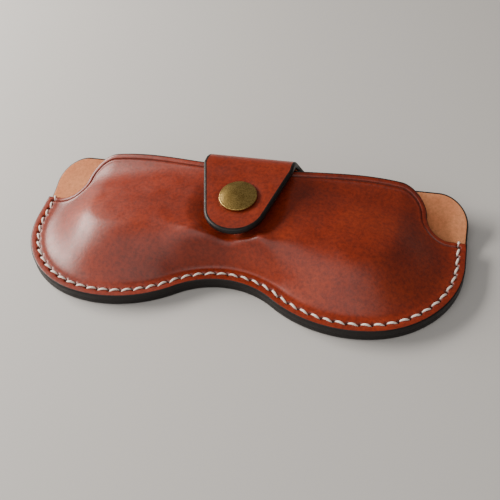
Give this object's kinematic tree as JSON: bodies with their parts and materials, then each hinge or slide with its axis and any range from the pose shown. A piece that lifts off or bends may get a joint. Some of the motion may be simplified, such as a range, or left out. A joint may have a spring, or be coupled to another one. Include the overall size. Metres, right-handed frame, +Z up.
{
  "type": "eyeglasses case",
  "caption": "Slim moulded leather eyeglasses case: a two-lobed front saddle-stitched to a flat back, closed by a strap with a brass snap.",
  "frame": {"origin": "on the resting surface, under the middle of the closed case", "axes": "+X along the case, +Y towards the mouth, +Z up through the moulded front"},
  "size_m": [0.165, 0.0675, 0.0243],
  "materials": {
    "leather": "glossy vegetable-tanned, burnished",
    "thread": "waxed linen",
    "antique_brass": "antiqued satin",
    "brass": "satin",
    "spring_steel": "bright"
  },
  "bodies": {
    "pouch": {"back_panel": "leather", "front_panel": "leather", "thread_strand_a": "thread", "thread_strand_b": "thread", "snap_stud": "brass", "snap_eyelet": "brass"},
    "strap_lower": {"strap_bend_lower": "leather"},
    "strap_upper": {"strap_bend_upper": "leather"},
    "strap": {"strap_tab": "leather", "snap_cap": "antique_brass", "snap_socket": "brass", "snap_spring": "spring_steel"}
  },
  "joints": [
    {"name": "strap_open", "type": "hinge", "parent": "pouch", "child": "strap_lower", "pos_m": [0, 0.03166, 0.00923], "axis": [-1, 0, 0], "range_deg": [0, 45]},
    {"name": "strap_fold", "type": "hinge", "parent": "strap_lower", "child": "strap_upper", "pos_m": [0, 0.03081, 0.01931], "axis": [-1, 0, 0], "range_deg": [0, 45]},
    {"name": "strap_lift", "type": "hinge", "parent": "strap_upper", "child": "strap", "pos_m": [0, 0.02155, 0.02367], "axis": [-1, 0, 0], "range_deg": [0, 45], "deforming": ["snap_spring"]}
  ],
  "couplings": [
    {"joint": "strap_fold", "follows": "strap_open", "ratio": 1},
    {"joint": "strap_lift", "follows": "strap_open", "ratio": 1}
  ]
}
